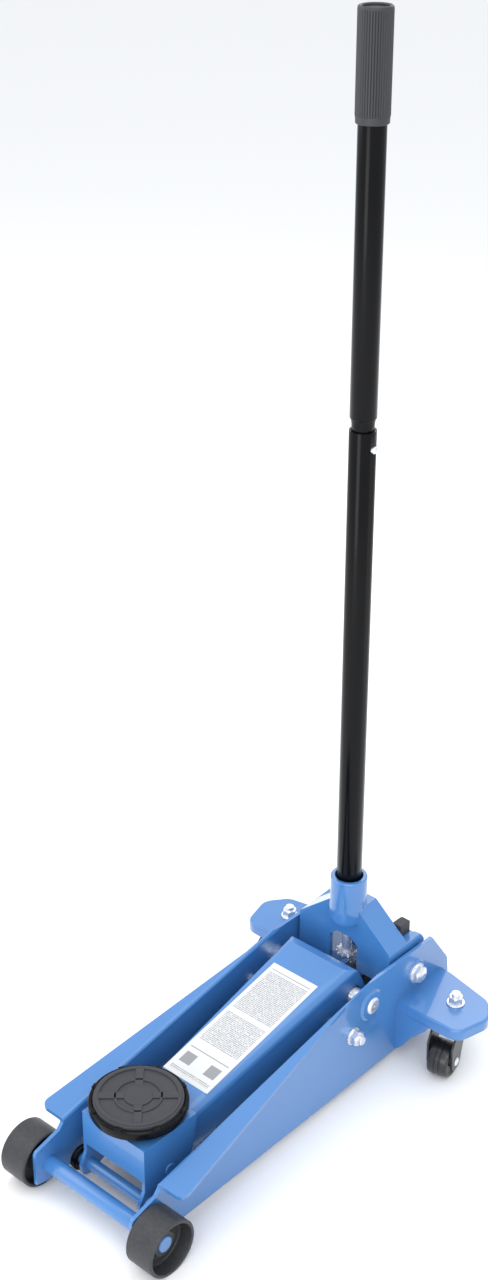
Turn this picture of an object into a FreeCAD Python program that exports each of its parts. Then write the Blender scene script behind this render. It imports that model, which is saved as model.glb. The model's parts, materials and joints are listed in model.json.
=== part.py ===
import FreeCAD, Part
import math
import os
import Sketcher

# A low-profile hydraulic trolley jack: a rolling frame of two folded side plates, a lift arm that
# raises a level saddle, a hydraulic unit between the plates and a tilting yoke that holds a long handle.
# Frame: millimetres, +Z up from the floor, -Y towards the saddle end, +X to the jack's left side.
# Y positions are counted from the front axle and then shifted, so that the origin lies under the middle.

doc = FreeCAD.newDocument("trolley_jack")

# --------------------------------------------------------------------------------------------
# Driving dimensions
# --------------------------------------------------------------------------------------------

SIZES = {
    # frame
    "axle_y": -285,
    "wheel_radius": 38,
    "wheel_inner": 90.5,
    "wheel_width": 42,
    "wheel_rim": 4.6,
    "hub_radius": 17,
    "axle_radius": 11,
    "axle_half": 121,
    "web_inner": 82.5,
    "sheet_wall": 5,
    "under_edge": 12,
    "flange_outer": 125,
    "flange_front": 26,
    "flange_low": 92,
    "flange_rear": 376,
    "flange_high": 153,
    "riser_top": 161,
    "frame_rear": 608,
    # rear castors
    "wing_top": 95,
    "wing_lip": 16,
    "wing_outer": 203,
    "castor_x": 149,
    "castor_y": 539,
    "castor_radius": 25,
    "castor_width": 30,
    "castor_trail": 32,
    "castor_turn": 12,
    "stud_radius": 6,
    # lift arm and its parallel link
    "pivot_y": 431,
    "pivot_z": 123,
    "saddle_y": 77,
    "saddle_z": 61,
    "link_back": 38.5,
    "link_down": 28.7,
    "arm_front_half": 43,
    "arm_rear_half": 57,
    "arm_wall": 5,
    "shaft_radius": 12,
    "link_inner": 62.5,
    "link_wall": 6,
    "rod_radius": 8,
    # saddle
    "carrier_half": 54,
    "carrier_top": 118,
    "carrier_front": 33,
    "carrier_rear": 126,
    "pad_centre": 79,
    "pad_top": 145.3,
    "pad_radius": 56.3,
    "cup_radius": 62.8,
    "stem_radius": 15,
    # hydraulic unit
    "lever_radius": 55,
    "lever_swing": 31,
    "ram_radius": 13,
    "tank_radius": 28,
    "tank_front": 478,
    "tank_rear": 562,
    "unit_z": 76,
    # yoke and handle
    "yoke_y": 528,
    "yoke_z": 122,
    "yoke_half": 79,
    "ear_wall": 8,
    "handle_y": 486,
    "socket_top": 264,
    "socket_radius": 25,
    "socket_bore": 19.5,
    "tube_radius": 17,
    "joint_z": 905,
    "grip_low": 1268,
    "grip_radius": 20,
    "handle_top": 1395,
    "roller_radius": 8,
    "roller_arm": 24,
    "roller_rise": 37.5,
    "gear_radius": 15,
    "gear_apex_z": 121,
    # running clearance on a radius
    "play": 0.06,
}

sheet = doc.addObject("Spreadsheet::Sheet", "Sizes")
for row, (alias, amount) in enumerate(SIZES.items(), start=1):
    sheet.set("A%d" % row, alias)
    sheet.set("B%d" % row, str(amount))
    sheet.setAlias("B%d" % row, alias)
doc.recompute()


class Size:
    """A dimension of the sheet, or a sum or product of them, with the expression that gives it."""

    def __init__(self, value, text):
        self.value = value
        self.text = text

    def __add__(self, other):
        return Size(self.value + number(other), "(%s + %s)" % (self.text, text_of(other)))

    __radd__ = __add__

    def __sub__(self, other):
        return Size(self.value - number(other), "(%s - %s)" % (self.text, text_of(other)))

    def __rsub__(self, other):
        return Size(number(other) - self.value, "(%s - %s)" % (text_of(other), self.text))

    def __mul__(self, other):
        return Size(self.value * number(other), "(%s * %s)" % (self.text, text_of(other)))

    __rmul__ = __mul__

    def __truediv__(self, other):
        return Size(self.value / number(other), "(%s / %s)" % (self.text, text_of(other)))

    def __neg__(self):
        return Size(-self.value, "(0 - %s)" % self.text)


def number(size):
    return size.value if isinstance(size, Size) else float(size)


def text_of(size):
    return size.text if isinstance(size, Size) else "(%r)" % float(size)


def sine(angle):
    return Size(math.sin(math.radians(number(angle))), "sin(%s)" % text_of(angle))


def cosine(angle):
    return Size(math.cos(math.radians(number(angle))), "cos(%s)" % text_of(angle))


def vector(*coordinates):
    return FreeCAD.Vector(*[number(c) for c in coordinates])


D = {alias: Size(float(sheet.get(alias)), "Sizes." + alias) for alias in SIZES}


def fore(distance):
    """The Y of a place counted backwards from the front axle."""
    return D["axle_y"] + distance


# --------------------------------------------------------------------------------------------
# Building blocks
# --------------------------------------------------------------------------------------------

TURN_TO = {
    "z": FreeCAD.Rotation(),
    "x": FreeCAD.Rotation(FreeCAD.Vector(0, 1, 0), 90),
    "y": FreeCAD.Rotation(FreeCAD.Vector(1, 0, 0), -90),
}
PLANE_AXES = {"XY_Plane": (0, 1), "XZ_Plane": (0, 2), "YZ_Plane": (1, 2)}

parts = {}


def bind(thing, prop, size):
    setattr(thing, prop, number(size))
    if isinstance(size, Size):
        thing.setExpression(prop, size.text)


def place(thing, spot, rotation=None):
    """Puts an object at a spot, each coordinate bound to its size."""
    thing.Placement = FreeCAD.Placement(vector(*spot), rotation or FreeCAD.Rotation())
    for axis, coordinate in zip("xyz", spot):
        if isinstance(coordinate, Size):
            thing.setExpression("Placement.Base." + axis, coordinate.text)
    return thing


def cylinder(name, radius, length, spot, along="z"):
    rod = doc.addObject("Part::Cylinder", name)
    bind(rod, "Radius", radius)
    bind(rod, "Height", length)
    return place(rod, spot, TURN_TO[along])


def block(name, xs, ys, zs):
    box = doc.addObject("Part::Box", name)
    for prop, (low, high) in zip(("Length", "Width", "Height"), (xs, ys, zs)):
        bind(box, prop, high - low)
    return place(box, (xs[0], ys[0], zs[0]))


def hexagon(name, across_corners, length, spot, along="z"):
    prism_object = doc.addObject("Part::Prism", name)
    prism_object.Polygon = 6
    bind(prism_object, "Circumradius", across_corners / 2)
    bind(prism_object, "Height", length)
    return place(prism_object, spot, TURN_TO[along])


def ball(name, radius, spot):
    sphere = doc.addObject("Part::Sphere", name)
    bind(sphere, "Radius", radius)
    return place(sphere, spot)


def fuse(name, *members):
    union = doc.addObject("Part::MultiFuse", name)
    union.Shapes = list(members)
    return union


def common(name, *members):
    overlap = doc.addObject("Part::MultiCommon", name)
    overlap.Shapes = list(members)
    return overlap


def cut(name, base, *tools):
    difference = doc.addObject("Part::Cut", name)
    difference.Base = base
    difference.Tool = tools[0] if len(tools) == 1 else fuse(name + "_tools", *tools)
    return difference


def group(name, *members):
    """Separate solids that share one node, such as a pair of like fasteners."""
    compound = doc.addObject("Part::Compound", name)
    compound.Links = list(members)
    return compound


def mirrored(name, source):
    """The same piece on the jack's other side."""
    twin = doc.addObject("Part::Mirroring", name)
    twin.Source = source
    twin.Normal = FreeCAD.Vector(1, 0, 0)
    return twin


def origin_plane(body, role):
    return next(feature for feature in body.Origin.OriginFeatures if feature.Role == role)


def draw_outline(sketch, outline):
    """A closed outline of straight lines. A corner is (u, v), or (u, v, radius) where it is rounded."""
    corners = [FreeCAD.Vector(number(corner[0]), number(corner[1]), 0) for corner in outline]
    radii = [corner[2] if len(corner) > 2 else 0 for corner in outline]
    count = len(corners)
    arrivals, departures, middles = [], [], []
    for index, here in enumerate(corners):
        back = (corners[index - 1] - here).normalize()
        ahead = (corners[(index + 1) % count] - here).normalize()
        half_angle = back.getAngle(ahead) / 2
        radius = number(radii[index])
        reach = radius / math.tan(half_angle)
        arrivals.append(here + back * reach)
        departures.append(here + ahead * reach)
        inward = (back + ahead).normalize() if radius else back
        middles.append(here + inward * (radius / math.sin(half_angle) - radius))
    for index in range(count):
        sketch.addGeometry(Part.LineSegment(departures[index], arrivals[(index + 1) % count]), False)
    for index, corner in enumerate(outline):
        before = (index - 1) % count
        if radii[index]:
            curve = Part.Arc(arrivals[index], middles[index], departures[index])
            arc = sketch.addGeometry(curve, False)
            forwards = (sketch.getPoint(arc, 1) - arrivals[index]).Length < 1e-6
            first, last = (1, 2) if forwards else (2, 1)
            sketch.addConstraint(Sketcher.Constraint("Tangent", before, 2, arc, first))
            sketch.addConstraint(Sketcher.Constraint("Tangent", arc, last, index, 1))
            size_rule = sketch.addConstraint(Sketcher.Constraint("Radius", arc, number(radii[index])))
            if isinstance(radii[index], Size):
                sketch.setExpression("Constraints[%d]" % size_rule, radii[index].text)
            point = sketch.addGeometry(Part.Point(corners[index]), True)
            sketch.addConstraint(Sketcher.Constraint("PointOnObject", point, 1, before))
            sketch.addConstraint(Sketcher.Constraint("PointOnObject", point, 1, index))
        else:
            point = index
            sketch.addConstraint(Sketcher.Constraint("Coincident", before, 2, index, 1))
        for kind, coordinate in zip(("DistanceX", "DistanceY"), corner[:2]):
            rule = sketch.addConstraint(Sketcher.Constraint(kind, -1, 1, point, 1, number(coordinate)))
            if isinstance(coordinate, Size):
                sketch.setExpression("Constraints[%d]" % rule, coordinate.text)


def new_sketch(body, name, plane, offset, outline):
    sketch = body.newObject("Sketcher::SketchObject", name)
    sketch.AttachmentSupport = (origin_plane(body, plane), [""])
    sketch.MapMode = "FlatFace"
    sketch.AttachmentOffset = FreeCAD.Placement(vector(0, 0, offset), FreeCAD.Rotation())
    if isinstance(offset, Size):
        sketch.setExpression("AttachmentOffset.Base.z", offset.text)
    draw_outline(sketch, outline)
    return sketch


def extrude(body, name, kind, plane, outline, low, high):
    """A Pad or Pocket of an outline between two levels along the plane's axis."""
    offset = -high if plane == "XZ_Plane" else low
    sketch = new_sketch(body, name + "_outline", plane, offset, outline)
    feature = body.newObject(kind, name)
    feature.Profile = sketch
    bind(feature, "Length", high - low)
    if kind == "PartDesign::Pocket":
        feature.Reversed = True
    sketch.Visibility = False
    doc.recompute()
    return feature


def edges_where(shape, test):
    """Names of the straight edges whose two ends both pass a test."""
    found = []
    for index, edge in enumerate(shape.Edges, start=1):
        ends = [vertex.Point for vertex in edge.Vertexes]
        if len(ends) == 2 and all(test(end) for end in ends):
            found.append("Edge%d" % index)
    return found


def round_edges(body, name, radius, test):
    """A fillet of the body's tip on the edges that pass a test."""
    tip = body.Tip
    names = edges_where(tip.Shape, test)
    if not names:
        raise ValueError("no edge found for " + name)
    fillet = body.newObject("PartDesign::Fillet", name)
    fillet.Base = (tip, names)
    bind(fillet, "Radius", radius)
    doc.recompute()
    if fillet.Shape.isNull():
        raise ValueError("the fillet failed: " + name)
    return fillet


def rounded(outline, rounds):
    """The outline with a radius given to some of its corners: rounds is (radius, corner numbers) pairs."""
    given = {index: radius for radius, corners in rounds for index in corners}
    return [(*corner[:2], given[index]) if index in given else corner
            for index, corner in enumerate(outline)]


def plate(name, plane, outline, low, high, rounds=()):
    """A flat plate: an outline padded between two levels, with some of its corners rounded."""
    body = doc.addObject("PartDesign::Body", name)
    extrude(body, name + "_pad", "PartDesign::Pad", plane, rounded(outline, rounds), low, high)
    return body


def turned(name, profile, spot, along="z"):
    """A turned piece: a profile of (radius, height) points swept round its own axis."""
    body = doc.addObject("PartDesign::Body", name)
    sketch = new_sketch(body, name + "_profile", "XZ_Plane", 0, profile)
    turn = body.newObject("PartDesign::Revolution", name + "_turn")
    turn.Profile = sketch
    turn.ReferenceAxis = (sketch, ["V_Axis"])
    turn.Angle = 360
    sketch.Visibility = False
    place(body, spot, TURN_TO[along])
    doc.recompute()
    return body


def finish(label, thing):
    """Names an object as one of the jack's pieces."""
    thing.Label = label
    parts[label] = thing
    return thing


# --------------------------------------------------------------------------------------------
# Rolling frame
# --------------------------------------------------------------------------------------------

web_outer = D["web_inner"] + D["sheet_wall"]
boss_outer = web_outer + 3
arm_pivot = (fore(D["pivot_y"]), D["pivot_z"])
saddle_pivot = (fore(D["saddle_y"]), D["saddle_z"])
link_anchor = (arm_pivot[0] - D["link_back"], arm_pivot[1] - D["link_down"])
link_end = (saddle_pivot[0] - D["link_back"], saddle_pivot[1] - D["link_down"])
yoke_pivot = (fore(D["yoke_y"]), D["yoke_z"])


def through_hole(name, radius, centre, low, high):
    return cylinder(name, radius, high - low, (low, centre[0], centre[1]), "x")


def side_plate():
    """The left plate: an upright web with a nose, a folded top flange that narrows and a rear riser."""
    wall = D["sheet_wall"]
    front, rear = fore(D["flange_front"]), fore(D["flange_rear"])
    low, high = D["flange_low"], D["flange_high"]
    web = [
        (fore(-23), D["under_edge"] + 5),
        (fore(-23), 67),
        (fore(19), 78),
        (front, low - 6),
        (front, low),
        (rear, high),
        (fore(426), D["riser_top"]),
        (fore(564), D["riser_top"] - 1),
        (fore(602), 107),
        (fore(D["frame_rear"]), 60),
        (fore(D["frame_rear"] - 4), 28),
        (fore(560), D["under_edge"]),
        (fore(0), D["under_edge"]),
    ]
    body = doc.addObject("PartDesign::Body", "left_side_plate_body")
    extrude(body, "web_pad", "PartDesign::Pad", "YZ_Plane",
            rounded(web, [(8, (1,)), (14, (8,)), (12, (9, 10))]), D["web_inner"], web_outer)
    flange = [(front, low - wall), (front, low), (rear, high), (rear, high - wall)]
    extrude(body, "flange_pad", "PartDesign::Pad", "YZ_Plane", flange, D["web_inner"], D["flange_outer"])
    taper = [
        (D["flange_outer"], front),
        (D["flange_outer"] + 5, front),
        (D["flange_outer"] + 5, rear + 5),
        (web_outer, rear + 5),
        (web_outer, rear),
    ]
    extrude(body, "flange_taper", "PartDesign::Pocket", "XY_Plane", taper, D["under_edge"], high + 10)
    inner, outer = number(D["web_inner"]), number(D["flange_outer"])
    round_edges(body, "flange_corner", 11, lambda p: abs(p.x - outer) < 0.01)

    def on_top_line(point, drop):
        share = (point.y - number(front)) / number(rear - front)
        line = number(low) + share * number(high - low) - drop
        return 0 <= round(share, 6) <= 1 and abs(point.z - line) < 0.01

    round_edges(body, "fold_outside", 4.5, lambda p: abs(p.x - inner) < 0.01 and on_top_line(p, 0))
    webx, wall_size = number(web_outer), number(wall)
    round_edges(body, "fold_inside", 3, lambda p: abs(p.x - webx) < 0.01 and on_top_line(p, wall_size))
    bosses = [
        turned("pivot_boss", [(8, -1), (23, -1), (23, 0), (20, 3), (8, 3)],
               (web_outer, *arm_pivot), "x"),
        turned("yoke_boss", [(6, -1), (19, -1), (19, 0), (17.5, 1.2), (6, 1.2)],
               (web_outer, *yoke_pivot), "x"),
    ]
    holes = [
        through_hole("axle_hole", D["axle_radius"] + 0.05, (fore(0), D["wheel_radius"]),
                     D["web_inner"] - 1, web_outer + 1),
        through_hole("shaft_hole", D["shaft_radius"] + 0.05, arm_pivot, D["web_inner"] - 1, boss_outer + 1),
        through_hole("anchor_hole", 6.05, link_anchor, D["web_inner"] - 1, web_outer + 1),
        through_hole("yoke_bolt_hole", 8.05, yoke_pivot, D["web_inner"] - 1, boss_outer + 1),
    ]
    return cut("left_plate_drilled", fuse("left_plate_raised", body, *bosses), *holes)


left_plate = finish("left_side_plate", side_plate())
finish("right_side_plate", mirrored("right_plate", left_plate))

front_axle_spot = (fore(0), D["wheel_radius"])
axle_bar = turned(
    "axle_bar",
    [
        (0, 0),
        (D["axle_radius"] - 1.2, 0),
        (D["axle_radius"], 1.2),
        (D["axle_radius"], D["axle_half"] * 2 - 1.2),
        (D["axle_radius"] - 1.2, D["axle_half"] * 2),
        (0, D["axle_half"] * 2),
    ],
    (-D["axle_half"], *front_axle_spot),
    "x",
)
hub_outer = D["axle_half"] - 5
clip_groove = cut(
    "groove_ring",
    cylinder("groove_outer", D["axle_radius"] + 1, 1.6, (hub_outer + 0.3, *front_axle_spot), "x"),
    cylinder("groove_inner", D["axle_radius"] - 1, 1.6, (hub_outer + 0.3, *front_axle_spot), "x"),
)
finish("front_axle", cut("grooved_axle", axle_bar, clip_groove, mirrored("groove_twin", clip_groove)))
axle_clip = cut(
    "left_axle_clip",
    cylinder("clip_outer", D["axle_radius"] + 3.4, 1.4, (hub_outer + 0.4, *front_axle_spot), "x"),
    cylinder("clip_bore", D["axle_radius"] - 0.95, 1.4, (hub_outer + 0.4, *front_axle_spot), "x"),
    block("clip_gap", (hub_outer, hub_outer + 3), (fore(-3.5), fore(3.5)),
          (D["wheel_radius"] - 20, D["wheel_radius"] - 5)),
)
finish("front_axle_clips", group("axle_clips", axle_clip, mirrored("right_axle_clip", axle_clip)))


def front_wheel(name):
    """A cast wheel: a deep dish on both faces round a thin disc, with a hub that runs on the axle."""
    width, radius = D["wheel_width"], D["wheel_radius"]
    inside = radius - D["wheel_rim"]
    bore = D["axle_radius"] + D["play"]
    hub_end = hub_outer - D["wheel_inner"]
    profile = [
        (bore, 1),
        (D["hub_radius"], 1),
        (D["hub_radius"] + 1.5, 13),
        (inside - 2, 14),
        (inside, 3),
        (inside + 1.4, 0),
        (radius - 2, 0),
        (radius, 2),
        (radius, width - 2.2),
        (radius - 2.2, width),
        (inside + 1.2, width),
        (inside, width - 2),
        (inside - 2.5, 21),
        (D["hub_radius"] + 1.5, 20),
        (D["hub_radius"], hub_end),
        (bore, hub_end),
    ]
    return turned(name, profile, (D["wheel_inner"], *front_axle_spot), "x")


left_wheel = finish("left_front_wheel", front_wheel("front_wheel_body"))
finish("right_front_wheel", mirrored("front_wheel_twin", left_wheel))


def castor_bracket():
    """The left wing: a flat shelf with a turned-down lip, welded to the plate over the castor."""
    top, under = D["wing_top"], D["wing_top"] - D["wing_lip"]
    outline = [
        (web_outer, fore(487)),
        (D["wing_outer"] - 14, fore(489)),
        (D["wing_outer"], fore(543)),
        (D["wing_outer"] - 24, fore(574)),
        (web_outer + 18, fore(590)),
        (web_outer, fore(592)),
    ]
    hollow = [
        (web_outer - 1, fore(492)),
        (D["wing_outer"] - 18, fore(494)),
        (D["wing_outer"] - 5.2, fore(543)),
        (D["wing_outer"] - 26.5, fore(569.5)),
        (web_outer + 17, fore(585)),
        (web_outer - 1, fore(587)),
    ]
    body = plate("left_wing_body", "XY_Plane", outline, under, top, [(20, (1,)), (24, (2, 3))])
    level, root = number(top), number(web_outer)
    blank = body.Tip
    rim = ["Edge%d" % index for index, edge in enumerate(blank.Shape.Edges, start=1)
           if all(abs(v.Point.z - level) < 0.01 for v in edge.Vertexes)
           and max(v.Point.x for v in edge.Vertexes) > root + 0.01]
    lip = body.newObject("PartDesign::Fillet", "wing_lip_round")
    lip.Base = (blank, rim)
    lip.Radius = 4
    extrude(body, "wing_hollow", "PartDesign::Pocket", "XY_Plane", hollow, under, top - D["sheet_wall"])
    apron = [
        (web_outer, 17),
        (web_outer, under + 2),
        (web_outer + 56, under + 2),
        (web_outer + 50, 71),
        (web_outer + 28, 49),
        (web_outer + 13, 26),
        (web_outer + 5, 18),
    ]
    extrude(body, "wing_apron", "PartDesign::Pad", "XZ_Plane", apron, fore(487), fore(492))
    hole = cylinder("castor_stud_hole", D["stud_radius"] + 0.05, 40,
                    (D["castor_x"], fore(D["castor_y"]), under))
    return cut("left_wing_drilled", body, hole)


left_wing = finish("left_castor_bracket", castor_bracket())
finish("right_castor_bracket", mirrored("right_wing", left_wing))

castor_spot = (D["castor_x"], fore(D["castor_y"]))
wing_under = D["wing_top"] - D["sheet_wall"]
fork_top = wing_under - 16
stud_head = fork_top - 8


def castor_pair(label, make):
    """One node that holds the left and right copies of a castor's fastener."""
    left = make("left_" + label)
    finish(label, group(label + "_pair", left, mirrored("right_" + label, left)))


def castor_stud(name):
    shank = cylinder(name + "_shank", D["stud_radius"], D["wing_top"] + 17 - stud_head,
                     (*castor_spot, stud_head))
    head = hexagon(name + "_head", 19, 4.5, (*castor_spot, stud_head))
    return fuse(name, shank, head)


def castor_nut(name):
    nut = common(
        name + "_chamfered",
        hexagon(name + "_hex", 20.8, 10, (*castor_spot, D["wing_top"] + 2.4)),
        turned(name + "_crown", [(0, 0), (10.6, 0), (10.6, 8.4), (8.6, 10), (0, 10)],
               (*castor_spot, D["wing_top"] + 2.4)),
    )
    washer = cylinder(name + "_washer", 12.5, 2.4, (*castor_spot, D["wing_top"]))
    bore = cylinder(name + "_bore", D["stud_radius"], 14, (*castor_spot, D["wing_top"]))
    return cut(name, fuse(name + "_stack", nut, washer), bore)


def bearing_cap(name):
    ring = [
        (D["stud_radius"] + 0.05, 0),
        (19, 0),
        (21.5, 2.5),
        (21.5, 4.7),
        (19, 6.7),
        (D["stud_radius"] + 0.05, 6.7),
    ]
    return turned(name, ring, (*castor_spot, wing_under - 6.7))


castor_pair("castor_studs", castor_stud)
castor_pair("castor_stud_nuts", castor_nut)
castor_pair("castor_bearing_caps", bearing_cap)


def castor_fork():
    """A pressed fork: two cheeks that sweep back to the wheel's rivet under a swivel head."""
    axle = (-D["castor_trail"], D["castor_radius"])
    head = fork_top - 3
    cheek = [
        (15, fork_top),
        (axle[0] + 2, fork_top),
        (axle[0] - 15, 52),
        (axle[0] - 13, 20),
        (axle[0] - 6, 13),
        (axle[0] + 8, 13),
        (axle[0] + 14, 24),
        (axle[0] + 22, 48),
        (15, 58),
    ]
    inner, outer = D["castor_width"] / 2 + 1.2, D["castor_width"] / 2 + 4.2
    cheeks = []
    for side, (low, high) in (("left", (inner, outer)), ("right", (-outer, -inner))):
        cheeks.append(plate("fork_%s_cheek" % side, "YZ_Plane", cheek, low, high,
                            [(9, (2, 3)), (6, (4, 5)), (10, (6, 7)), (5, (8,))]))
    roof = block("fork_roof", (-outer, outer), (axle[0] + 2, 15), (head, fork_top))
    race_bore = D["stud_radius"] + 0.1
    race = turned("fork_race", [(race_bore, 0), (20, 0), (20, 10), (17, 12), (race_bore, 12)],
                  (0, 0, head))
    bore = cylinder("fork_stud_bore", D["stud_radius"] + 0.1, 30, (0, 0, head - 5))
    pin_hole = cylinder("fork_pin_hole", 4.05, 60, (-30, *axle), "x")
    return cut("castor_fork_made", fuse("castor_fork_joined", *cheeks, roof, race), bore, pin_hole)


def castor_wheel():
    """A small solid wheel with a crowned tread and dished faces."""
    half, radius = D["castor_width"] / 2, D["castor_radius"]
    profile = [
        (4 + D["play"], -half - 0.6),
        (8, -half - 0.6),
        (9, -half + 3),
        (radius - 7, -half + 3),
        (radius - 5, -half),
        (radius - 2, -half + 0.6),
        (radius - 0.8, -half + 3.5),
        (radius, -1),
        (radius, 1),
        (radius - 0.8, half - 3.5),
        (radius - 2, half - 0.6),
        (radius - 5, half),
        (radius - 7, half - 3),
        (9, half - 3),
        (8, half + 0.6),
        (4 + D["play"], half + 0.6),
    ]
    return turned("castor_wheel_made", profile, (0, -D["castor_trail"], D["castor_radius"]), "x")


def castor_rivet():
    """The wheel's riveted axle, with a domed head outside each cheek."""
    reach = D["castor_width"] / 2 + 4.3
    profile = [
        (0, -reach - 2.4),
        (4.6, -reach - 1.8),
        (6.5, -reach),
        (4, -reach),
        (4, reach),
        (6.5, reach),
        (4.6, reach + 1.8),
        (0, reach + 2.4),
    ]
    return turned("castor_rivet_made", profile, (0, -D["castor_trail"], D["castor_radius"]), "x")


def swivelled(name, source):
    """A castor piece carried to its stud and turned to the way the castor trails."""
    wrap = group(name, source)
    place(wrap, (*castor_spot, 0), FreeCAD.Rotation(FreeCAD.Vector(0, 0, 1), number(D["castor_turn"])))
    return wrap


for kind, maker in (("fork", castor_fork), ("wheel", castor_wheel), ("axle_rivet", castor_rivet)):
    left_piece = finish("left_castor_" + kind, swivelled("left_castor_%s_set" % kind, maker()))
    finish("right_castor_" + kind, mirrored("right_castor_%s_set" % kind, left_piece))

# Fasteners through the plates, all along X.
shaft_half = boss_outer + 3
finish("arm_pivot_shaft", turned(
    "arm_shaft",
    [
        (0, 0),
        (D["shaft_radius"] - 2.5, 0.4),
        (D["shaft_radius"], 2),
        (D["shaft_radius"], shaft_half * 2 - 2),
        (D["shaft_radius"] - 2.5, shaft_half * 2 - 0.4),
        (0, shaft_half * 2),
    ],
    (-shaft_half, *arm_pivot),
    "x",
))


def anchor_stud():
    """The link's rear stud: a shoulder that the link swings on, and a shank through the plate."""
    start = D["link_inner"] - 3
    profile = [
        (0, 0),
        (10, 0),
        (10, 2.7),
        (D["rod_radius"], 2.7),
        (D["rod_radius"], D["web_inner"] - start),
        (6, D["web_inner"] - start),
        (6, web_outer + 17 - start),
        (5, web_outer + 18 - start),
        (0, web_outer + 18 - start),
    ]
    return turned("left_anchor_stud", profile, (start, *link_anchor), "x")


def hex_nut(name, spot, bore, across, height):
    """A hexagon nut with a washer behind it and chamfered outer corners."""
    x, y, z = spot
    hexa = hexagon(name + "_hex", across, height, (x + 2, y, z), "x")
    crown = turned(name + "_crown", [
        (0, 0),
        (across / 2, 0),
        (across / 2, height - 1.8),
        (across / 2 - 2, height),
        (0, height),
    ], (x + 2, y, z), "x")
    washer = cylinder(name + "_washer", across / 2 + 1.5, 2, spot, "x")
    hole = cylinder(name + "_hole", bore, height + 6, (x - 1, y, z), "x")
    return cut(name, fuse(name + "_stack", common(name + "_body", hexa, crown), washer), hole)


left_anchor = anchor_stud()
finish("link_anchor_studs", group("anchor_studs", left_anchor, mirrored("right_anchor_stud", left_anchor)))
left_nut = hex_nut("left_anchor_nut", (web_outer, *link_anchor), 6, 21.9, 10)
finish("link_anchor_nuts", group("anchor_nuts", left_nut, mirrored("right_anchor_nut", left_nut)))


def yoke_bolt():
    """A domed hexagon bolt that the yoke's ear swings on."""
    start = D["yoke_half"] - D["ear_wall"] - 1
    head_at = web_outer + 1.2
    x, y, z = head_at, *yoke_pivot
    shank = cylinder("left_yoke_shank", 8, head_at - start, (start, y, z), "x")
    washer = cylinder("left_yoke_bolt_washer", 15, 2.5, (x, y, z), "x")
    hexa = hexagon("left_yoke_hex", 26, 11, (x + 2.5, y, z), "x")
    dome = ball("left_yoke_dome", 17, (x - 3, y, z))
    return fuse("left_yoke_bolt", shank, washer, common("left_yoke_head", hexa, dome))


left_yoke_bolt = yoke_bolt()
finish("yoke_pivot_bolts", group("yoke_bolts", left_yoke_bolt, mirrored("right_yoke_bolt", left_yoke_bolt)))
left_washer = cut(
    "left_yoke_washer",
    cylinder("yoke_washer_disc", 14, D["web_inner"] - D["yoke_half"] - 0.6,
             (D["yoke_half"] + 0.3, *yoke_pivot), "x"),
    cylinder("yoke_washer_bore", 8.05, 10, (D["yoke_half"] - 1, *yoke_pivot), "x"),
)
finish("yoke_thrust_washers", group("yoke_washers", left_washer, mirrored("right_yoke_washer", left_washer)))

# --------------------------------------------------------------------------------------------
# Hydraulic unit
# --------------------------------------------------------------------------------------------

swing = D["lever_swing"]
lever_pin = (arm_pivot[0] + D["lever_radius"] * sine(swing), arm_pivot[1] - D["lever_radius"] * cosine(swing))
unit_axis = D["unit_z"] - 3
tank_front, tank_rear = fore(D["tank_front"]), fore(D["tank_rear"])
block_rear = fore(598)

gland = turned(
    "gland_ring",
    [(D["ram_radius"] + 0.1, 0), (21, 0), (22, 1), (22, 5), (D["ram_radius"] + 0.1, 5)],
    (0, tank_front - 5, unit_axis),
    "y",
)
finish("ram_gland_nut", gland)
tank = cut(
    "tank_bored",
    cylinder("tank_outer", D["tank_radius"], D["tank_rear"] - D["tank_front"],
             (0, tank_front, unit_axis), "y"),
    cylinder("tank_bore", D["ram_radius"] + 3, D["tank_rear"] - D["tank_front"] - 8,
             (0, tank_front, unit_axis), "y"),
)
finish("hydraulic_tank", cut(
    "tank_with_filler", tank,
    cylinder("filler_hole", 5.05, 30, (20, tank_front + 16, unit_axis + 10)),
))
finish("filler_plug", fuse(
    "filler_plug_made",
    cylinder("plug_stem", 5, 14, (20, tank_front + 16, unit_axis + 17)),
    cylinder("plug_head", 8, 3, (20, tank_front + 16, unit_axis + 31)),
))
pump_y = yoke_pivot[0] + D["roller_arm"] * cosine(D["roller_rise"])
roller_z = yoke_pivot[1] + D["roller_arm"] * sine(D["roller_rise"])
plunger_top = roller_z - D["roller_radius"] - 0.6
bore_floor = 36
plunger_low = bore_floor + 30
block_top = 93
pump_x = 45
rear_casting = plate(
    "rear_casting",
    "YZ_Plane",
    [(tank_rear, 30), (tank_rear, 98), (fore(584), 98), (block_rear, 86), (block_rear, 30)],
    -34,
    34,
    [(8, (2, 3))],
)
pump_barrel = plate(
    "pump_barrel",
    "YZ_Plane",
    [(pump_y - 17, 30), (pump_y - 17, block_top), (block_rear - 14, block_top), (block_rear - 14, 30)],
    31.4,
    62,
    [(5, (1, 2))],
)
pump_casting = fuse("pump_casting", rear_casting, pump_barrel)
plunger_radius = 8
spring_seat = 78
pump_bores = [
    cylinder("plunger_bore", plunger_radius + D["play"], 80, (pump_x, pump_y, bore_floor)),
    cylinder("spring_well", 13, 40, (pump_x, pump_y, spring_seat)),
    cylinder("valve_bore", 6.05, 60, (-14, tank_rear - 10, 90), "y"),
]
finish("pump_block", cut("pump_block_bored", pump_casting, *pump_bores))
finish("pump_plunger", turned(
    "plunger_body",
    [
        (0, plunger_low),
        (plunger_radius, plunger_low),
        (plunger_radius, plunger_top - 5),
        (11.4, plunger_top - 5),
        (11.4, plunger_top - 2),
        (10, plunger_top),
        (0, plunger_top),
    ],
    (pump_x, pump_y, 0),
))
spring_high = plunger_top - 5.2
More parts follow.
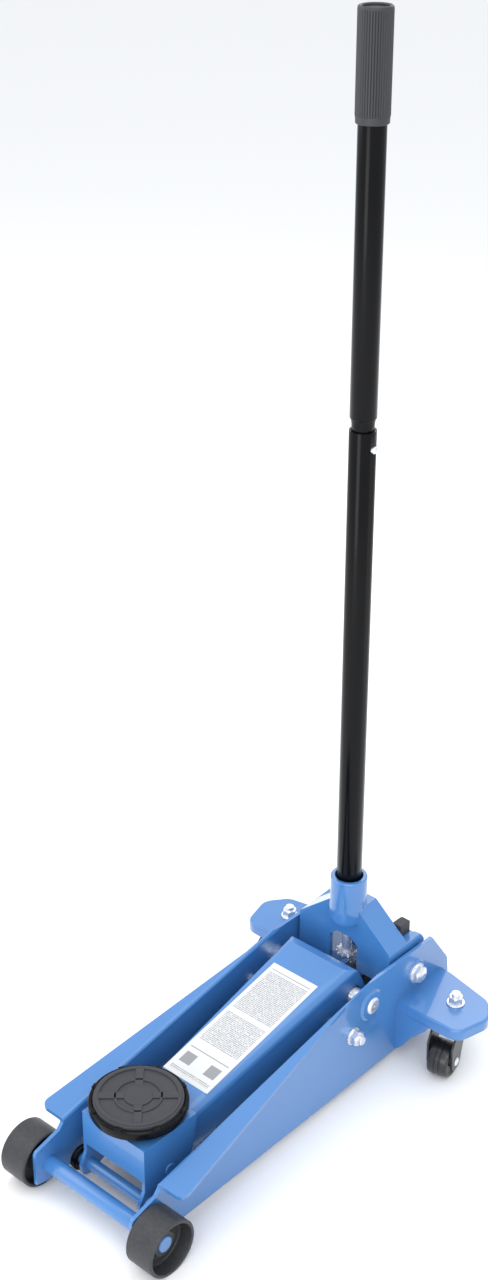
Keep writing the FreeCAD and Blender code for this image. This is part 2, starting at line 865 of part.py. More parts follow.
finish("plunger_spring", cut(
    "plunger_spring_sleeve",
    cylinder("spring_outer", 11.3, spring_high - spring_seat - 0.2, (pump_x, pump_y, spring_seat + 0.2)),
    cylinder("spring_inner", 8.8, 80, (pump_x, pump_y, spring_seat - 1)),
))
finish("ram_rod", turned(
    "ram_rod_body",
    [(0, 0), (D["ram_radius"] - 1, 0), (D["ram_radius"], 1), (D["ram_radius"], 76), (0, 76)],
    (0, lever_pin[0] + 12, unit_axis),
    "y",
))
slot_half = D["rod_radius"] + 1.2
crosshead = plate(
    "crosshead_block",
    "YZ_Plane",
    [
        (lever_pin[0] - 15, unit_axis - 18),
        (lever_pin[0] - 15, unit_axis + 16),
        (lever_pin[0] + 11.9, unit_axis + 16),
        (lever_pin[0] + 11.9, unit_axis - 18),
    ],
    -17,
    17,
    [(6, (0, 1))],
)
crosshead_slot = block(
    "crosshead_slot",
    (-20, 20),
    (lever_pin[0] - slot_half, lever_pin[0] + slot_half),
    (lever_pin[1] - D["rod_radius"] - 9.5, lever_pin[1] + D["rod_radius"] + 1),
)
finish("ram_crosshead", cut("crosshead_slotted", crosshead, crosshead_slot))

brace_low = 22
brace_blank = plate(
    "brace_plate",
    "YZ_Plane",
    [
        (fore(500), brace_low),
        (fore(500), brace_low + 6),
        (fore(588), brace_low + 6),
        (fore(588), brace_low),
    ],
    -D["web_inner"],
    D["web_inner"],
)
foot = block("tank_foot", (-26, 26), (fore(505), fore(545)), (28, 45))
saddle_foot = cut("tank_foot_curved", foot, cylinder("foot_curve", D["tank_radius"], 80,
                                                        (0, fore(490), unit_axis), "y"))
finish("tank_saddle_foot", saddle_foot)


def brace_bolt(name, x, y):
    return fuse(
        name,
        hexagon(name + "_hex", 15, 5.5, (x, y, brace_low - 5.5)),
        cylinder(name + "_shank", 4, 6, (x, y, brace_low - 0.1)),
    )


finish("unit_mounting_bolts", group("unit_bolts", *[
    brace_bolt("unit_bolt_%d_%d" % (x, y), x, fore(y))
    for x in (-22, 22) for y in (512, 574)
]))
finish("rear_cross_brace", cut("brace_drilled", brace_blank, *[
    cylinder("brace_hole_%d_%d" % (x, y), 4.02, 12, (x, fore(y), brace_low - 1))
    for x in (-22, 22) for y in (512, 574)
]))

# --------------------------------------------------------------------------------------------
# Lift arm
# --------------------------------------------------------------------------------------------

arm_slope = 0.197


def arm_top(y_from_axle):
    """Height of the arm's upper face over a place behind the front axle."""
    return 115.7 + arm_slope * (y_from_axle - 161)


def on_arm_top(point, depth):
    """Whether a point lies on the arm's upper face, or on the plane a depth below it."""
    level = arm_top(point.y - number(D["axle_y"])) - number(depth)
    return abs(point.z - number(level)) < 0.01 and abs(point.x) > 20


def folded(name, solid, radius, test):
    """A solid whose long side edges are rounded as a bent sheet's are."""
    doc.recompute()
    rims = [index for index, edge in enumerate(solid.Shape.Edges, start=1)
            if len(edge.Vertexes) == 2 and all(test(vertex.Point) for vertex in edge.Vertexes)
            and abs(edge.Vertexes[0].Y - edge.Vertexes[1].Y) > 50]
    if len(rims) != 2:
        raise ValueError("%s has %d long edges" % (name, len(rims)))
    fold = doc.addObject("Part::Fillet", name)
    fold.Base = solid
    fold.Edges = [(index, radius, radius) for index in rims]
    return fold


def lift_arm():
    """A folded channel, open below, that widens to the rear and carries the lever that the ram pushes."""
    wall = D["arm_wall"]
    nose_y, nose_z = saddle_pivot
    side = [
        (fore(112), arm_top(112)),
        (fore(420), arm_top(420)),
        (fore(438), arm_top(420) - 6),
        (fore(447), arm_top(420) - 24),
        (fore(458), 118),
        (lever_pin[0] + 13, lever_pin[1] + 4),
        (lever_pin[0] + 8, lever_pin[1] - 13),
        (lever_pin[0] - 10, lever_pin[1] - 13),
        (fore(418), 97),
        (fore(250), 72),
        (nose_y + 14, nose_z - 16),
        (nose_y - 12, nose_z - 15),
        (nose_y - 16, nose_z),
        (nose_y - 8, nose_z + 16),
        (fore(100), arm_top(112) - 16),
    ]
    width = D["arm_rear_half"] + 4
    rounded = plate("arm_side_profile", "YZ_Plane", side, -width, width,
                    [(10, (2,)), (8, (3,)), (11, (4, 5, 6, 7)), (11, (10, 11, 12))])
    front_y, rear_y = fore(60), fore(480)
    plan = [
        (-D["arm_front_half"] + 3, front_y),
        (D["arm_front_half"] - 3, front_y),
        (D["arm_rear_half"] + 2, rear_y),
        (-D["arm_rear_half"] - 2, rear_y),
    ]
    shell = common("arm_outside", rounded, plate("arm_plan", "XY_Plane", plan, 20, 220))
    shell = folded("arm_folded", shell, 13, lambda p: on_arm_top(p, 0))
    hollow_side = [
        (fore(40), arm_top(40) - wall),
        (fore(417), arm_top(417) - wall),
        (fore(433), arm_top(417) - wall - 6),
        (fore(441), arm_top(417) - wall - 24),
        (fore(441), 122),
        (fore(480), 116),
        (fore(480), 30),
        (fore(40), 30),
    ]
    hollow_plan = [
        (-D["arm_front_half"] + 3 + wall, front_y - 5),
        (D["arm_front_half"] - 3 - wall, front_y - 5),
        (D["arm_rear_half"] + 2 - wall, rear_y + 5),
        (-D["arm_rear_half"] - 2 + wall, rear_y + 5),
    ]
    hollow = common(
        "arm_inside",
        plate("arm_hollow_side", "YZ_Plane", hollow_side, -width - 5, width + 5),
        plate("arm_hollow_plan", "XY_Plane", hollow_plan, 10, 230),
    )
    hollow = folded("arm_inside_folded", hollow, 8, lambda p: on_arm_top(p, wall))
    hubs = [
        cut(
            "arm_hub",
            cylinder("arm_hub_tube", D["shaft_radius"] + 8, D["arm_rear_half"] * 2 - 8,
                     (-D["arm_rear_half"] + 4, *arm_pivot), "x"),
            cylinder("arm_hub_relief", D["shaft_radius"] + 9, 60, (-30, *arm_pivot), "x"),
        ),
    ]
    bushed = D["shaft_radius"] + 2
    drills = [
        through_hole("arm_shaft_bore", bushed, arm_pivot, -width - 5, width + 5),
        through_hole("lever_pin_bore", D["rod_radius"], lever_pin, -width - 5, width + 5),
        through_hole("saddle_pin_bore", D["rod_radius"] + D["play"], saddle_pivot, -width - 5, width + 5),
    ]
    channel = cut("lift_arm_channel", shell, hollow)
    return cut("lift_arm_drilled", fuse("lift_arm_solid", channel, *hubs), *drills)


finish("lift_arm", lift_arm())
bush = cut(
    "left_bush",
    cylinder("bush_outer", D["shaft_radius"] + 2, 24, (31, *arm_pivot), "x"),
    cylinder("bush_bore", D["shaft_radius"] + D["play"], 30, (29, *arm_pivot), "x"),
)
finish("arm_pivot_bushes", group("arm_bushes", bush, mirrored("right_bush", bush)))
lever_half = D["arm_rear_half"] + 2
finish("ram_lever_pin", turned(
    "lever_pin_bar",
    [(0, 0), (D["rod_radius"] - 1, 0), (D["rod_radius"], 1), (D["rod_radius"], lever_half * 2 - 1),
     (D["rod_radius"] - 1, lever_half * 2), (0, lever_half * 2)],
    (-lever_half, *lever_pin),
    "x",
))
pin_half = D["carrier_half"] + 1.5
finish("saddle_pivot_pin", turned(
    "saddle_pin_bar",
    [(0, 0), (D["rod_radius"] - 1, 0), (D["rod_radius"], 1), (D["rod_radius"], pin_half * 2 - 1),
     (D["rod_radius"] - 1, pin_half * 2), (0, pin_half * 2)],
    (-pin_half, *saddle_pivot),
    "x",
))
label_front, label_rear = 161, 377.5
label_length = math.hypot(label_rear - label_front, arm_slope * (label_rear - label_front))
label = doc.addObject("Part::Box", "data_label_sheet")
for prop, length in (("Length", 77), ("Width", label_length), ("Height", 0.3)):
    bind(label, prop, length)
place(label, (-38.5, fore(label_front), arm_top(label_front)),
      FreeCAD.Rotation(FreeCAD.Vector(1, 0, 0), math.degrees(math.atan(arm_slope))))
finish("data_label", label)

# --------------------------------------------------------------------------------------------
# Parallel link, saddle carrier and saddle
# --------------------------------------------------------------------------------------------


def level_link():
    """A flat bar with rounded ends that keeps the saddle level."""
    (y0, z0), (y1, z1) = link_end, link_anchor
    run, rise = number(y1 - y0), number(z1 - z0)
    length = math.hypot(run, rise)
    tilt = math.degrees(math.atan2(rise, run))
    low, high = D["link_inner"], D["link_inner"] + D["link_wall"]
    bar = block("link_bar", (low, high), (y0, y0 + length), (z0 - 12, z0 + 12))
    place(bar, (low, y0 + 12 * math.sin(math.radians(tilt)), z0 - 12 * math.cos(math.radians(tilt))),
          FreeCAD.Rotation(FreeCAD.Vector(1, 0, 0), tilt))
    ends = [cylinder("link_front_eye", 17, D["link_wall"], (low, y0, z0), "x"),
            cylinder("link_rear_eye", 16, D["link_wall"], (low, y1, z1), "x")]
    bores = [
        through_hole("link_front_bore", D["rod_radius"] + 0.5, link_end, low - 2, high + 2),
        through_hole("link_rear_bore", D["rod_radius"] + D["play"], link_anchor, low - 2, high + 2),
    ]
    return cut("left_level_link_bored", fuse("left_level_link_solid", bar, *ends), *bores)


left_link = finish("left_level_link", level_link())
finish("right_level_link", mirrored("right_link", left_link))


def saddle_carrier():
    """An upturned U of plate: a level top for the saddle, a front lip and two cheeks with both pins."""
    half, wall = D["carrier_half"], D["sheet_wall"]
    top = D["carrier_top"]
    front, rear = fore(D["carrier_front"]), fore(D["carrier_rear"])
    rod_y, rod_z = link_end
    cheek = [
        (front, top),
        (front, rod_z + 22),
        (rod_y - 15, rod_z + 4),
        (rod_y - 13, rod_z - 12),
        (rod_y + 2, rod_z - 16),
        (rod_y + 15, rod_z - 10),
        (fore(98), saddle_pivot[1] - 18),
        (rear - 8, saddle_pivot[1] + 6),
        (rear, top - 8),
        (rear, top),
    ]
    rounds = [(10, (3, 4)), (7, (2,)), (14, (6, 7))]
    cheeks = [
        plate("left_cheek", "YZ_Plane", cheek, half - wall, half, rounds),
        plate("right_cheek", "YZ_Plane", cheek, -half, -half + wall, rounds),
    ]
    roof = block("carrier_roof", (-half, half), (front, rear), (top - wall, top))
    lip = block("carrier_lip", (-half, half), (front, front + wall), (67.5, top))
    bores = [
        cylinder("stem_bore", D["stem_radius"] + 0.08, 20, (0, fore(D["pad_centre"]), top - 10)),
        through_hole("carrier_pin_bore", D["rod_radius"], saddle_pivot, -half - 5, half + 5),
        through_hole("carrier_rod_bore", D["rod_radius"], link_end, -half - 5, half + 5),
    ]
    return cut("saddle_carrier_bored", fuse("saddle_carrier_solid", roof, lip, *cheeks), *bores)


finish("saddle_carrier", saddle_carrier())
rod_half = D["link_inner"] + D["link_wall"] + 3.5
finish("leveling_rod", turned(
    "leveling_rod_bar",
    [(0, 0), (D["rod_radius"] - 1, 0), (D["rod_radius"], 1), (D["rod_radius"], rod_half * 2 - 1),
     (D["rod_radius"] - 1, rod_half * 2), (0, rod_half * 2)],
    (-rod_half, *link_end),
    "x",
))

pad_spot = (0, fore(D["pad_centre"]))
cup_floor = D["carrier_top"] + 0.4
cup_rim = D["pad_top"] - 5
cup = turned(
    "saddle_cup_body",
    [
        (0, cup_floor - 17),
        (D["stem_radius"] - 1, cup_floor - 17),
        (D["stem_radius"], cup_floor - 16),
        (D["stem_radius"], cup_floor),
        (30, cup_floor),
        (34, cup_floor + 4),
        (D["cup_radius"] - 5, cup_floor + 6),
        (D["cup_radius"] - 1, cup_floor + 9),
        (D["cup_radius"], cup_floor + 12),
        (D["cup_radius"], cup_rim - 1.4),
        (D["cup_radius"] - 1.4, cup_rim),
        (D["pad_radius"] + 2.2, cup_rim),
        (D["pad_radius"] + 0.8, cup_rim - 1.4),
        (D["pad_radius"] + 0.8, cup_floor + 11),
        (0, cup_floor + 11),
    ],
    (*pad_spot, 0),
)
finish("saddle_cup", cup)
pad_low = cup_floor + 11


def saddle_pad():
    """A rubber disc with four raised quadrants between a cross of channels and two ring grooves."""
    top = D["pad_top"]
    body = turned(
        "pad_disc",
        [(0, pad_low), (D["pad_radius"] + 0.6, pad_low), (D["pad_radius"] + 0.6, top - 4),
         (D["pad_radius"], top - 1.5), (D["pad_radius"] - 1.5, top), (0, top)],
        (*pad_spot, 0),
    )
    grooves = []
    for name, radius in (("inner", 20), ("outer", 37)):
        grooves.append(cut(
            "pad_%s_groove" % name,
            cylinder("pad_%s_groove_out" % name, radius + 1.1, 3, (*pad_spot, top - 1.4)),
            cylinder("pad_%s_groove_in" % name, radius - 1.1, 3, (*pad_spot, top - 1.4)),
        ))
    return cut("saddle_pad_grooved", body, *grooves)


finish("saddle_pad", saddle_pad())
clip_high = D["carrier_top"] - D["sheet_wall"] - 0.4
finish("saddle_stem_clip", cut(
    "stem_clip_ring",
    cylinder("stem_clip_disc", D["stem_radius"] + 6, 2.5, (*pad_spot, clip_high - 2.5)),
    cylinder("stem_clip_bore", D["stem_radius"], 6, (*pad_spot, clip_high - 5)),
))

# --------------------------------------------------------------------------------------------
# Yoke
# --------------------------------------------------------------------------------------------

handle_spot = (0, fore(D["handle_y"]))
face_front, face_rear = fore(478), fore(484)
shoulder_z = 172


def handle_yoke():
    """A cast hood: a socket for the handle, a windowed front face, sloping shoulders and two ears."""
    half, ear = D["yoke_half"], D["ear_wall"]
    face = [
        (-half, 120),
        (-half, shoulder_z),
        (-D["socket_radius"] + 2, 219),
        (D["socket_radius"] - 2, 219),
        (half, shoulder_z),
        (half, 120),
    ]
    front = plate("yoke_face", "XZ_Plane", face, face_front, face_rear, [(7, (1, 4))])
    shoulder_outer = [
        (-half, shoulder_z - 30),
        (-half, shoulder_z),
        (-D["socket_radius"] + 2, 219),
        (D["socket_radius"] - 2, 219),
        (half, shoulder_z),
        (half, shoulder_z - 30),
    ]
    shoulders = plate("yoke_shoulders", "XZ_Plane", shoulder_outer, face_front, fore(518), [(7, (1, 4))])
    shoulder_inner = [
        (-half + ear, shoulder_z - 40),
        (-half + ear, shoulder_z - 5),
        (-D["socket_radius"] + 4, 211),
        (D["socket_radius"] - 4, 211),
        (half - ear, shoulder_z - 5),
        (half - ear, shoulder_z - 40),
    ]
    hollow = plate("yoke_hollow", "XZ_Plane", shoulder_inner, face_rear, fore(530), [(5, (1, 4))])
    ear_outline = [
        (face_front, 120),
        (face_front, shoulder_z - 2),
        (fore(546), shoulder_z + 2),
        (fore(556), shoulder_z - 12),
        (yoke_pivot[0] + 27, yoke_pivot[1] + 10),
        (yoke_pivot[0] + 25, yoke_pivot[1] - 14),
        (yoke_pivot[0] + 6, yoke_pivot[1] - 22),
        (yoke_pivot[0] - 16, yoke_pivot[1] - 16),
    ]
    ears = [
        plate("left_ear", "YZ_Plane", ear_outline, half - ear, half, [(10, (2, 3)), (13, (4, 5, 6, 7))]),
        plate("right_ear", "YZ_Plane", ear_outline, -half, -half + ear, [(10, (2, 3)), (13, (4, 5, 6, 7))]),
    ]
    x, y = handle_spot
    socket = turned(
        "yoke_socket",
        [(0, 196), (D["socket_radius"] + 0.5, 196), (D["socket_radius"] + 1, 215), (D["socket_radius"], 226),
         (D["socket_radius"], D["socket_top"] - 1.5), (D["socket_radius"] - 1.5, D["socket_top"]),
         (0, D["socket_top"])],
        (x, y, 0),
    )
    skirt = common(
        "socket_skirt",
        cylinder("socket_skirt_round", D["socket_radius"] + 0.5, 90, (x, y, 150)),
        block("socket_skirt_rear", (-half, half), (y - 4, y + 40), (186, 215)),
    )
    window = plate("yoke_window", "XZ_Plane", [
        (-24, 110),
        (-24, 160),
        (-12, 170),
        (12, 170),
        (24, 160),
        (24, 110),
    ], face_front - 5, face_rear + 0.5, [(8, (1, 4))])
    lug = block("gear_lug", (-12, 12), (fore(507.5), fore(515)),
                (D["gear_apex_z"] - 11, 214))
    bores = [
        cylinder("socket_bore", D["socket_bore"], 100, (x, y, 200)),
        cylinder("gear_stem_bore", 7 + D["play"], 60, (x, y, 160)),
        cylinder("cross_spindle_bore", 5 + D["play"], 60, (x, fore(500), D["gear_apex_z"]), "y"),
        through_hole("ear_bolt_bore", 8 + D["play"], yoke_pivot, -half - 5, half + 5),
        through_hole("roller_pin_bore", 5, (pump_y, roller_z), -half - 5, half + 5),
    ]
    cast = fuse("yoke_cast", front, cut("yoke_hood", shoulders, hollow), *ears, socket, skirt, lug)
    return cut("handle_yoke_bored", cast, window, *bores)


finish("handle_yoke", handle_yoke())
finish("pump_roller", cut(
    "roller_ring",
    cylinder("roller_outer", D["roller_radius"], 18, (pump_x - 9, pump_y, roller_z), "x"),
    cylinder("roller_bore", 5 + D["play"], 40, (pump_x - 20, pump_y, roller_z), "x"),
))
finish("pump_roller_pin", cylinder("roller_pin", 5, D["yoke_half"] * 2,
                                  (-D["yoke_half"], pump_y, roller_z), "x"))
buffer_spot = (56, fore(531))
finish("handle_buffer_block", plate(
    "buffer_block",
    "XZ_Plane",
    [
        (47, shoulder_z + 1),
        (47, shoulder_z + 14),
        (52, shoulder_z + 19),
        (66, shoulder_z + 19),
        (66, shoulder_z + 1),
    ],
    fore(520),
    fore(540),
))
finish("buffer_ledge", block(
    "buffer_ledge_plate",
    (40, D["yoke_half"] - D["ear_wall"]),
    (fore(518), fore(543)),
    (shoulder_z - 5, Size(shoulder_z + 1, repr(float(shoulder_z + 1)))),
))

# --------------------------------------------------------------------------------------------
# Handle and release gears
# --------------------------------------------------------------------------------------------

teeth = 12
apex = (0, fore(D["handle_y"]), D["gear_apex_z"])


def bevel_gear(name, stem_length, stem_radius):
    """A 45 degree bevel gear on a stem: apex at the origin, teeth facing it, stem running away on +Z."""
    pitch = number(D["gear_radius"])
    blank = turned(
        name + "_blank",
        [
            (0, pitch - 5),
            (pitch - 7, pitch - 5),
            (pitch - 0.6, pitch + 1.2),
            (pitch - 1.8, pitch + 5),
            (stem_radius, pitch + 6),
            (stem_radius, pitch + 6 + stem_length),
            (0, pitch + 6 + stem_length),
        ],
        (0, 0, 0),
    )
    ridge = plate(name + "_ridge", "XZ_Plane", [
        (pitch - 7.5, pitch - 5.5),
        (pitch - 6.3, pitch - 6.4),
        (pitch + 1.6, pitch + 1.2),
        (pitch + 0.2, pitch + 4),
        (pitch - 4, pitch + 4),
    ], -0.9, 0.9)
    members = [blank]
    for index in range(teeth):
        tooth = doc.addObject("Part::Compound", "%s_tooth_%d" % (name, index))
        tooth.Links = [ridge]
        angle = 360 / teeth * index
        tooth.Placement.Rotation = FreeCAD.Rotation(FreeCAD.Vector(0, 0, 1), angle)
        members.append(tooth)
    return fuse(name, *members)


def at_apex(name, gear, rotation):
    wrap = group(name, gear)
    return place(wrap, apex, rotation)


half_pitch = FreeCAD.Rotation(FreeCAD.Vector(0, 0, 1), 180 / teeth)
tube_low = 202
drive_gear = bevel_gear("drive_gear", tube_low - number(D["gear_apex_z"]) - number(D["gear_radius"]) - 6, 7)
finish("release_drive_gear", at_apex("drive_gear_set", drive_gear, half_pitch))
driven_gear = bevel_gear("driven_gear", 14, 5)
finish("release_cross_gear", at_apex("driven_gear_set", driven_gear,
                                     FreeCAD.Rotation(FreeCAD.Vector(1, 0, 0), -90)))


def tube(name, low, high, outer, inner):
    return cut(
        name,
        cylinder(name + "_outside", outer, high - low, (*handle_spot, low)),
        cylinder(name + "_inside", inner, high - low + 2, (*handle_spot, low - 1)),
    )


wall = 2.5
plug = cylinder("tube_foot", D["tube_radius"] - wall, 14, (*handle_spot, tube_low))
lower = fuse("lower_tube", tube("lower_tube_pipe", Size(tube_low, repr(float(tube_low))), D["joint_z"],
                                D["tube_radius"], D["tube_radius"] - wall), plug)
neck_low, neck_high = D["joint_z"] - 70, D["joint_z"]
upper_spigot = turned("upper_spigot", [
    (D["tube_radius"] - wall - 2.6, number(neck_low)),
    (D["tube_radius"] - wall - 0.2, number(neck_low)),
    (D["tube_radius"] - wall - 0.2, number(neck_high)),
    (D["tube_radius"] - wall - 0.2, number(neck_high) + 8),
    (D["tube_radius"] - 0.4, number(neck_high) + 20),
    (D["tube_radius"] - wall, number(neck_high) + 22),
    (D["tube_radius"] - wall - 2.6, number(neck_high) + 10),
], (*handle_spot, 0))
upper = fuse("upper_tube", upper_spigot, tube("upper_tube_pipe", neck_high + 16, D["handle_top"] - 6,
                                              D["tube_radius"] - 0.2, D["tube_radius"] - wall))
button_z = D["joint_z"] - 22
button_bore = cylinder("button_bore", 4.6, 30, (0, fore(D["handle_y"]), button_z), "x")
finish("handle_lower_tube", cut("lower_tube_drilled", lower, button_bore))
finish("handle_upper_tube", cut("upper_tube_drilled", upper, button_bore))
finish("handle_snap_button", turned("button_body", [
    (0, 0),
    (6.3, 0),
    (6.3, 1.2),
    (4.5, 1.2),
    (4.5, 11.8),
    (3.2, 13.4),
    (0, 14),
], (D["tube_radius"] - wall - 7, handle_spot[1], button_z), "x"))


def handle_grip():
    """A ribbed rubber sleeve with a plain collar below and an open, rolled top."""
    body = turned("grip_sleeve", [
        (D["tube_radius"], D["grip_low"]),
        (D["grip_radius"] - 1.2, D["grip_low"]),
        (D["grip_radius"] - 0.4, D["grip_low"] + 9),
        (D["grip_radius"] + 0.4, D["grip_low"] + 10),
        (D["grip_radius"] + 0.5, D["handle_top"] - 3),
        (D["grip_radius"] - 1, D["handle_top"]),
        (D["tube_radius"] - 1.5, D["handle_top"]),
        (D["tube_radius"] - 1.5, D["handle_top"] - 6),
        (D["tube_radius"], D["handle_top"] - 6),
    ], (*handle_spot, 0))
    return body


finish("handle_grip", handle_grip())

# --------------------------------------------------------------------------------------------
# Checks and files
# --------------------------------------------------------------------------------------------

doc.recompute()
faults = [thing.Label for thing in doc.Objects if "Invalid" in thing.State or "Error" in thing.State]
if faults:
    raise RuntimeError("failed objects: " + ", ".join(faults))
for node, thing in parts.items():
    if thing.Shape.isNull() or not thing.Shape.isValid() or not thing.Shape.Solids:
        raise RuntimeError(node + " has no valid solid")

os.makedirs("parts", exist_ok=True)
for old in os.listdir("parts"):
    os.remove(os.path.join("parts", old))
for node, thing in parts.items():
    thing.Shape.exportStep("parts/%s.step" % node)
    box = thing.Shape.BoundBox
    print("%-24s %d solid(s) %9.1f mm3  x %.1f..%.1f y %.1f..%.1f z %.1f..%.1f" % (
        node, len(thing.Shape.Solids), thing.Shape.Volume, box.XMin, box.XMax, box.YMin, box.YMax,
        box.ZMin, box.ZMax))
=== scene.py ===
"""Hydraulic trolley jack: finishes, turned and fluted pieces, label print, stage and camera."""
import json
import math

import bmesh
import bpy
from mathutils import Matrix, Vector


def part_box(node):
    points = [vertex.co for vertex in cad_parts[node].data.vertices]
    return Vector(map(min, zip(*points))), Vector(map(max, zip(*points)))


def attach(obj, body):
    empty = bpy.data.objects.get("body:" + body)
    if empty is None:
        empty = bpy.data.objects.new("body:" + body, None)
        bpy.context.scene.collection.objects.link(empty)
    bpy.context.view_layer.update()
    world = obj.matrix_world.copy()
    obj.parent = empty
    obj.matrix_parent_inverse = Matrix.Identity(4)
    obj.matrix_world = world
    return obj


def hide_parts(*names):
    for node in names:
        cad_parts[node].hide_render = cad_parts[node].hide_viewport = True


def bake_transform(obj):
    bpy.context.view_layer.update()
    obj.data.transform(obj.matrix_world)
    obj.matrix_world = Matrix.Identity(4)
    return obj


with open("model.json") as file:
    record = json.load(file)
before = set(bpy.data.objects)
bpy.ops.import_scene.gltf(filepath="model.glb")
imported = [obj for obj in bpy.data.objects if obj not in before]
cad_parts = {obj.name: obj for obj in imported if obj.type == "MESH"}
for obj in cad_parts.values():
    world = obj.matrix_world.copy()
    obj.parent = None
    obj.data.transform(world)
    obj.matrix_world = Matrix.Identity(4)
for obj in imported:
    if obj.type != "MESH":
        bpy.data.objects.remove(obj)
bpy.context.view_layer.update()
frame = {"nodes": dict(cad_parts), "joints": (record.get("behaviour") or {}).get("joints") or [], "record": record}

bl_info = {
    "name": "Trolley Jack",
    "version": (1, 0, 0),
    "blender": (4, 2, 0),
    "location": "View3D > Sidebar > Trolley Jack",
    "description": "Builds the looks of a hydraulic trolley jack around its packed frame",
    "category": "Object",
}

TURN = 2 * math.pi
MM = 0.001

FRONT_AXLE = (0, -0.285, 0.038)
PAD_SPOKE_ANGLE = 43
CUP_TAB_ANGLE = 20.5

# Places on the label in metres along the jack and across it: rows of print, panels, thin rules.
PRINT_PITCH = 0.0026
PRINT_HALF_WIDTH = 0.033
PRINT_BLOCKS = ((-0.118, -0.112), (-0.062, -0.006), (0.002, 0.078))
PANEL_DEPTH = (-0.104, -0.086)
PANEL_WIDTHS = ((-0.03, -0.012), (0.012, 0.03))
THIN_RULES = ((-0.078, -0.0765), (0.082, 0.0832))

# Name, place, size in metres and power in watts of each softbox.
LAMPS = (
    ("key", (1.9, -2.2, 2.9), 2.6, 46),
    ("fill", (-2.4, -1.2, 2.0), 2.4, 24),
    ("top", (0.0, 0.4, 3.6), 3.0, 30),
    ("back", (-0.8, 2.6, 2.2), 2.0, 18),
    ("low", (0.5, -2.6, 0.7), 1.2, 14),
)
LAMP_TARGET = Vector((0, 0, 0.35))
FLOOR_HALF = 60

SENSOR_WIDTH = 36
LENS = 52.0
LENS_SHIFT = (0.0096, -0.0298)
CAMERA_PLACE = (1.284, -1.4396, 1.7012)
CAMERA_AZIMUTH, CAMERA_ELEVATION, CAMERA_ROLL = (
    math.radians(angle) for angle in (42.392, 26.286, -0.147))


# ---------------------------------------------------------------------------------------------
# Mesh helpers
# ---------------------------------------------------------------------------------------------

def outline(mesh, points):
    """Adds a closed ring of edges through the points and returns its geometry."""
    corners = [mesh.verts.new(point) for point in points]
    edges = [mesh.edges.new((a, b)) for a, b in zip(corners, corners[1:] + corners[:1])]
    return corners + edges


def lathe(mesh, profile, axis, steps):
    """Spins a closed profile of (along the axis, radius) pairs in millimetres right round."""
    if axis == "X":
        points = [(along * MM, 0, radius * MM) for along, radius in profile]
    else:
        points = [(radius * MM, 0, along * MM) for along, radius in profile]
    ring = outline(mesh, points)
    direction = (1, 0, 0) if axis == "X" else (0, 0, 1)
    bmesh.ops.spin(mesh, geom=ring, cent=(0, 0, 0), axis=direction, angle=TURN, steps=steps,
                   use_merge=True)


def bars(mesh, low, high, chamfer):
    """Adds a cuboid between two corners with rounded edges and returns its vertices."""
    before = set(mesh.verts)
    size = [b - a for a, b in zip(low, high)]
    middle = [(a + b) / 2 for a, b in zip(low, high)]
    placed = Matrix.Translation(middle) @ Matrix.Diagonal((*size, 1))
    made = bmesh.ops.create_cube(mesh, size=1, matrix=placed)
    edges = {edge for vert in made["verts"] for edge in vert.link_edges}
    bmesh.ops.bevel(mesh, geom=list(edges), offset=chamfer, segments=3, profile=0.5,
                    affect="EDGES", material=-1)
    return [vert for vert in mesh.verts if vert not in before]


def turned(mesh, verts, degrees):
    """Turns vertices about the upright axis through the origin."""
    turn = Matrix.Rotation(math.radians(degrees), 3, "Z")
    bmesh.ops.rotate(mesh, cent=(0, 0, 0), matrix=turn, verts=verts)


def centre_line(low, high):
    """The point at floor height under the middle of a box."""
    return ((low[0] + high[0]) / 2, (low[1] + high[1]) / 2, 0)


def finished(mesh, name, smooth_angle=35):
    """Closes a bmesh, turns its faces outwards and makes it an object at the origin."""
    bmesh.ops.remove_doubles(mesh, verts=mesh.verts, dist=1e-6)
    bmesh.ops.recalc_face_normals(mesh, faces=mesh.faces)
    limit = math.radians(smooth_angle)
    for face in mesh.faces:
        face.smooth = True
    for edge in mesh.edges:
        if edge.is_manifold:
            edge.smooth = edge.calc_face_angle(0) < limit
    data = bpy.data.meshes.new(name)
    mesh.to_mesh(data)
    mesh.free()
    made = bpy.data.objects.new(name, data)
    bpy.context.scene.collection.objects.link(made)
    return made


def fit(made, body, slot, *nodes):
    """Gives a piece its body, its finish and the plain pieces it stands for."""
    made.data.materials.clear()
    made.data.materials.append(FINISHES[slot])
    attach(made, body)
    if nodes:
        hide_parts(*nodes)


# ---------------------------------------------------------------------------------------------
# Finishes
# ---------------------------------------------------------------------------------------------

class Signal:
    """A shader socket whose Python operators each add one Math node."""

    def __init__(self, finish, socket):
        self.finish = finish
        self.socket = socket

    def math(self, operation, first, second=0.0):
        return self.finish.node("ShaderNodeMath", {"operation": operation}, {0: first, 1: second})

    def __add__(self, other):
        return self.math("ADD", self, other)

    __radd__ = __add__

    def __mul__(self, other):
        return self.math("MULTIPLY", self, other)

    __rmul__ = __mul__

    def __truediv__(self, other):
        return self.math("DIVIDE", self, other)

    def __gt__(self, other):
        return self.math("GREATER_THAN", self, other)

    def __lt__(self, other):
        return self.math("LESS_THAN", self, other)

    def part(self):
        """The fraction left after whole numbers are taken away."""
        return self.math("FRACT", self)


